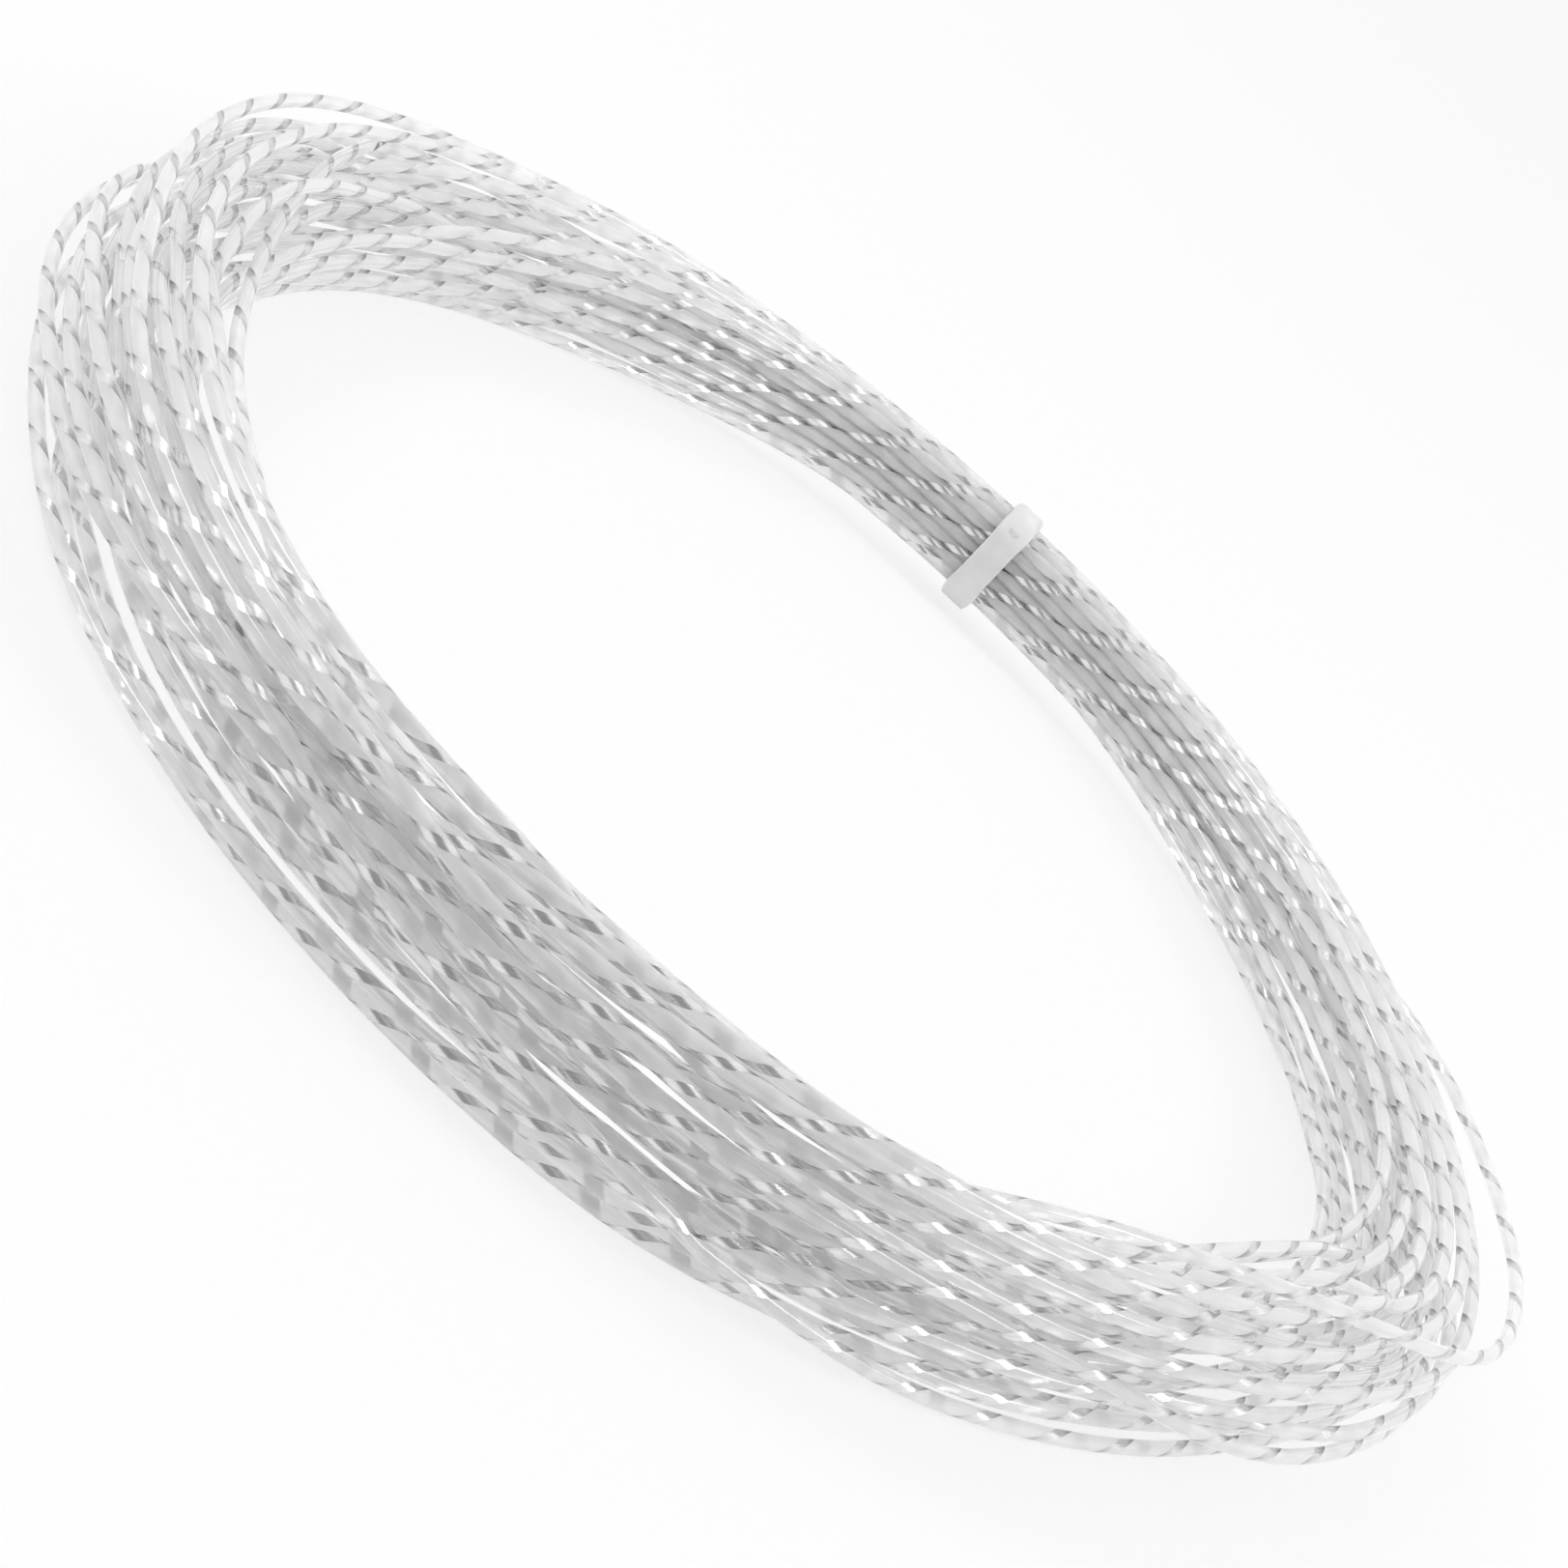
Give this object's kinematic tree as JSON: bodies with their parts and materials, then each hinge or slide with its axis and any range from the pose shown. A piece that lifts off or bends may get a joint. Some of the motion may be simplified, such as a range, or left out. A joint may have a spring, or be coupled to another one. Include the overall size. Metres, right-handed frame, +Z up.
{
  "type": "racket string coil",
  "caption": "Loose round coil of clear racket string with a silver spiral, held by one small white plastic tie.",
  "frame": {"origin": "middle of the part's box, on the surface that the coil lies on", "axes": "+Z up along the coil's axis, +Y towards the tie, +X to the side where one outer turn stands loose"},
  "size_m": [0.157, 0.153, 0.0193],
  "materials": {
    "string": "clear nylon with a silver spiral ribbon",
    "tie": "soft moulded plastic, satin"
  },
  "bodies": {
    "coil": {"tied_stack": "string", "string_coil": "string", "loose_turn": "string", "inner_turn": "string"},
    "tie": {"tie": "tie"}
  },
  "joints": [
    {"name": "tie_slide", "type": "hinge", "parent": "coil", "child": "tie", "pos_m": [-0.00052, 0.00007, 0], "axis": [0, 0, 1], "range_deg": [-10, 10]}
  ]
}
